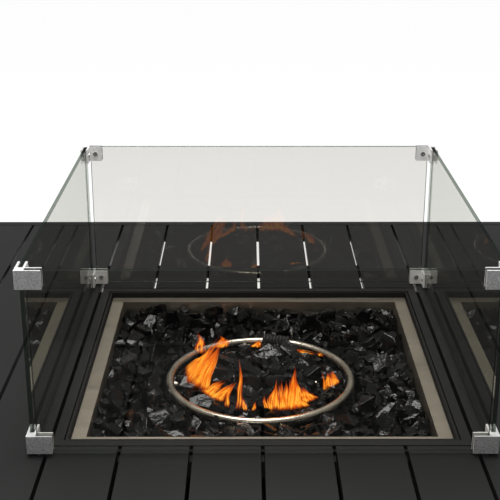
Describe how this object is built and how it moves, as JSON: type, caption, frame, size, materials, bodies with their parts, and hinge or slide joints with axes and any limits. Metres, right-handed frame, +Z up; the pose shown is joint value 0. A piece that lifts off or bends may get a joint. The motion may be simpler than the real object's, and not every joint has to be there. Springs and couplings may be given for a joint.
{
  "type": "gas fire pit table",
  "caption": "Square slatted metal fire pit table with a recessed burner pan, round gas burner in black fire glass, and a lift-off clear wind guard on a cabinet base.",
  "frame": {"origin": "on the floor under the middle of the table", "axes": "+Z up, -Y the front with the control knob, +Y the back with the tank door, X along the front edge"},
  "size_m": [1.372, 1.372, 0.908],
  "materials": {
    "powder_coat": "fine-texture satin charcoal powder coat on aluminium",
    "frame_coat": "matt black powder coat",
    "stainless": "brushed stainless sheet",
    "burner_steel": "smooth stainless tube",
    "fire_glass": "opaque glossy black broken glass",
    "brass": "machined",
    "gas_pipe": "drawn tube",
    "knob": "moulded black",
    "button": "gloss black",
    "black_steel": "heat-blackened steel",
    "ceramic": "unglazed insulator",
    "clear_glass": "clear tempered, polished green-tinted edges",
    "bracket_aluminium": "grainy matt anodised, cut ends bright",
    "screw_steel": "plated",
    "rubber": "soft matt",
    "magnet": "cased magnet"
  },
  "bodies": {
    "table": {"rim_front": "powder_coat", "rim_back": "powder_coat", "rim_left": "powder_coat", "rim_right": "powder_coat", "slats_left": "powder_coat", "slats_right": "powder_coat", "slats_front": "powder_coat", "slats_back": "powder_coat", "pit_frame": "powder_coat", "cross_beams": "frame_coat", "side_beams": "frame_coat", "bearer_rails": "frame_coat", "pan_support": "frame_coat", "burner_pan": "stainless", "fire_glass": "fire_glass", "burner_ring": "burner_steel", "burner_locknut": "brass", "air_mixer": "brass", "gas_tube": "gas_pipe", "gas_valve": "brass", "knob_bezel": "stainless", "igniter_housing": "knob", "pilot_hood": "black_steel", "pilot_bracket": "stainless", "igniter_electrode": "ceramic", "flame_sensor": "burner_steel", "corner_posts": "powder_coat", "upper_rails": "powder_coat", "lower_rails": "powder_coat", "panel_left": "powder_coat", "panel_right": "powder_coat", "front_panel": "powder_coat", "hinge_frame_leaves": "stainless", "hinge_pins": "screw_steel", "floor_tray": "frame_coat", "foot_glides": "rubber", "panel_screws": "screw_steel", "catch_magnet": "magnet"},
    "wind_guard": {"glass_front": "clear_glass", "glass_back": "clear_glass", "glass_left": "clear_glass", "glass_right": "clear_glass", "guard_screws": "screw_steel", "guard_pads": "rubber", "guard_feet": "rubber", "bracket_front_left_bottom": "bracket_aluminium", "bracket_front_left_top": "bracket_aluminium", "bracket_front_right_bottom": "bracket_aluminium", "bracket_front_right_top": "bracket_aluminium", "bracket_back_right_bottom": "bracket_aluminium", "bracket_back_right_top": "bracket_aluminium", "bracket_back_left_bottom": "bracket_aluminium", "bracket_back_left_top": "bracket_aluminium"},
    "valve_push": {"valve_stem": "brass"},
    "knob": {"control_knob": "knob"},
    "igniter": {"igniter_button": "button"},
    "door": {"tank_door": "powder_coat", "door_handle": "stainless", "hinge_door_leaves": "stainless", "catch_plate": "screw_steel"}
  },
  "joints": [
    {"name": "guard_lift", "type": "slide", "parent": "table", "child": "wind_guard", "axis": [0, 0, 1], "range_m": [0, 0.35]},
    {"name": "knob_push", "type": "slide", "parent": "table", "child": "valve_push", "axis": [0, 1, 0], "range_m": [0, 0.003], "stiffness_N_per_m": 600},
    {"name": "knob_turn", "type": "hinge", "parent": "valve_push", "child": "knob", "pos_m": [0, -0.385, 0.44], "axis": [0, -1, 0], "range_deg": [0, 270]},
    {"name": "igniter_press", "type": "slide", "parent": "table", "child": "igniter", "axis": [0, 1, 0], "range_m": [0, 0.004], "stiffness_N_per_m": 400},
    {"name": "door_swing", "type": "hinge", "parent": "table", "child": "door", "pos_m": [-0.3415, 0.385, 0.29], "axis": [0, 0, 1], "range_deg": [0, 110]}
  ]
}
